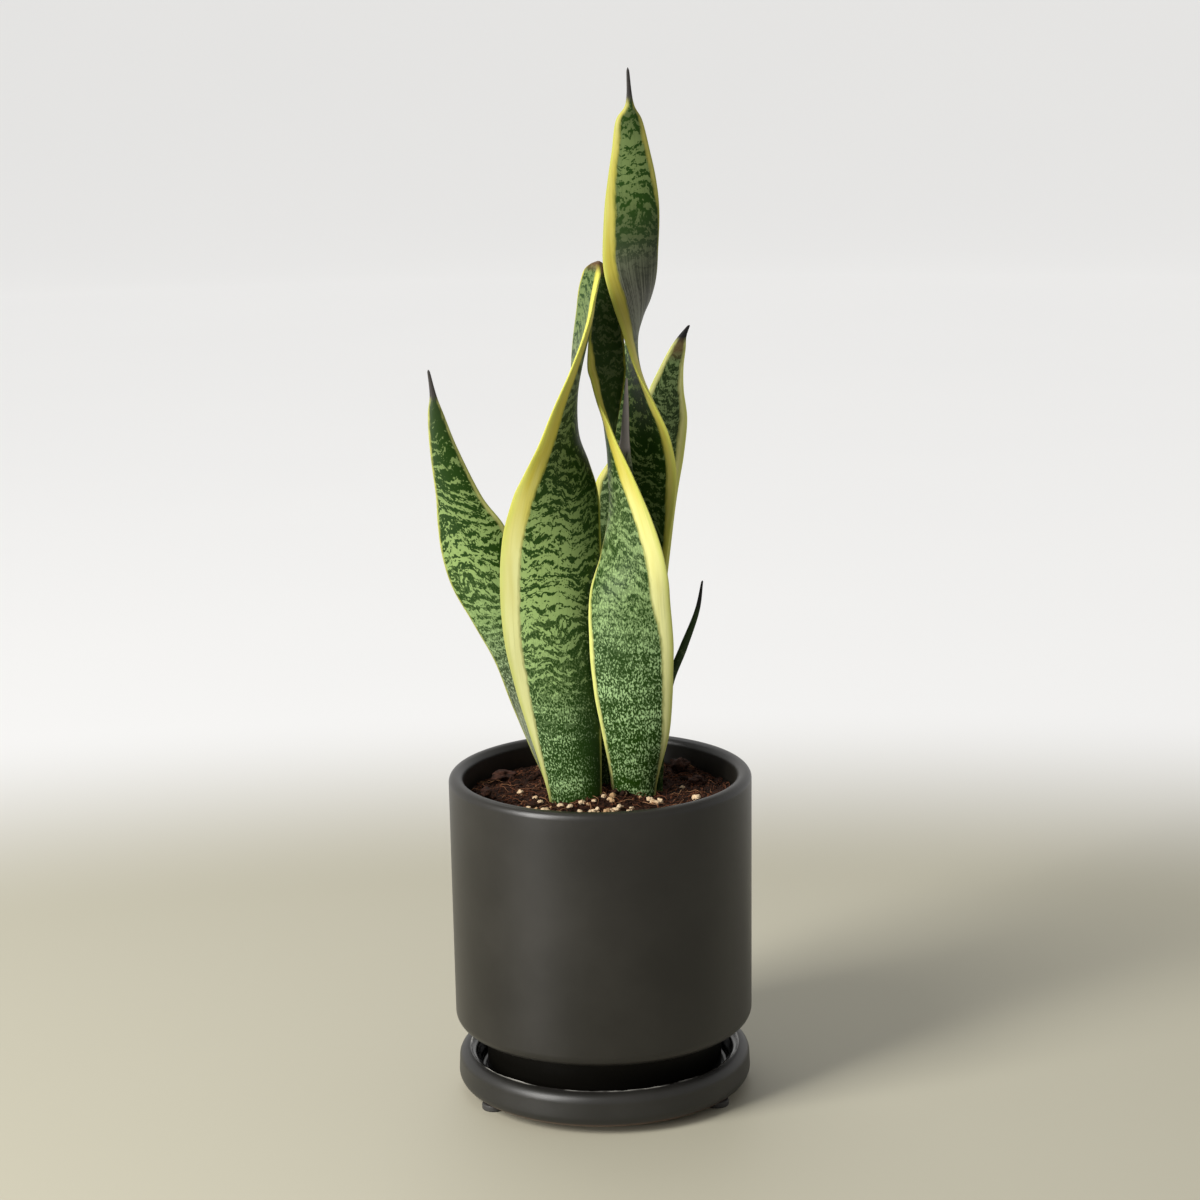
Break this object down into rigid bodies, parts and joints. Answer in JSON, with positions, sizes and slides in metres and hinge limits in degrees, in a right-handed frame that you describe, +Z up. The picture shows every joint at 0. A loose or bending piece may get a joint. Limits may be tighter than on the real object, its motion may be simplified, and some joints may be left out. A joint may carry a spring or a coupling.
{
  "type": "potted snake plant",
  "caption": "Snake plant with twisted, yellow-edged banded leaves in a black cylindrical ceramic pot on a matching saucer.",
  "frame": {"origin": "centre of the bottom of the object's bounding box, on the surface that the three foot pads stand on", "axes": "+Z up, out of the pot's mouth; -Y towards the side where the two broad leaves stand; +X to the right seen from that side"},
  "size_m": [0.1316, 0.127, 0.428],
  "materials": {
    "foot_pad": "matte",
    "saucer_ceramic": "satin",
    "pot_ceramic": "matte",
    "soil": "matte",
    "rhizome": "matte",
    "leaf": "satin",
    "pumice": "matte",
    "bark": "matte"
  },
  "bodies": {
    "root": {"foot_pad_1": "foot_pad", "foot_pad_2": "foot_pad", "foot_pad_3": "foot_pad", "saucer": "saucer_ceramic", "pot": "pot_ceramic", "soil": "soil", "rhizome": "rhizome", "leaf_front_left": "leaf", "leaf_front_right": "leaf", "leaf_left": "leaf", "leaf_tall": "leaf", "leaf_right_back": "leaf", "leaf_inner": "leaf", "leaf_shoot": "leaf", "pumice_1": "pumice", "pumice_2": "pumice", "pumice_3": "pumice", "pumice_4": "pumice", "pumice_5": "pumice", "pumice_6": "pumice", "pumice_7": "pumice", "pumice_8": "pumice", "pumice_9": "pumice", "pumice_10": "pumice", "pumice_11": "pumice", "pumice_12": "pumice", "pumice_13": "pumice", "pumice_14": "pumice", "pumice_15": "pumice", "pumice_16": "pumice", "bark_chunk_1": "bark", "bark_chunk_2": "bark", "bark_chunk_3": "bark", "bark_chunk_4": "bark"}
  },
  "joints": []
}
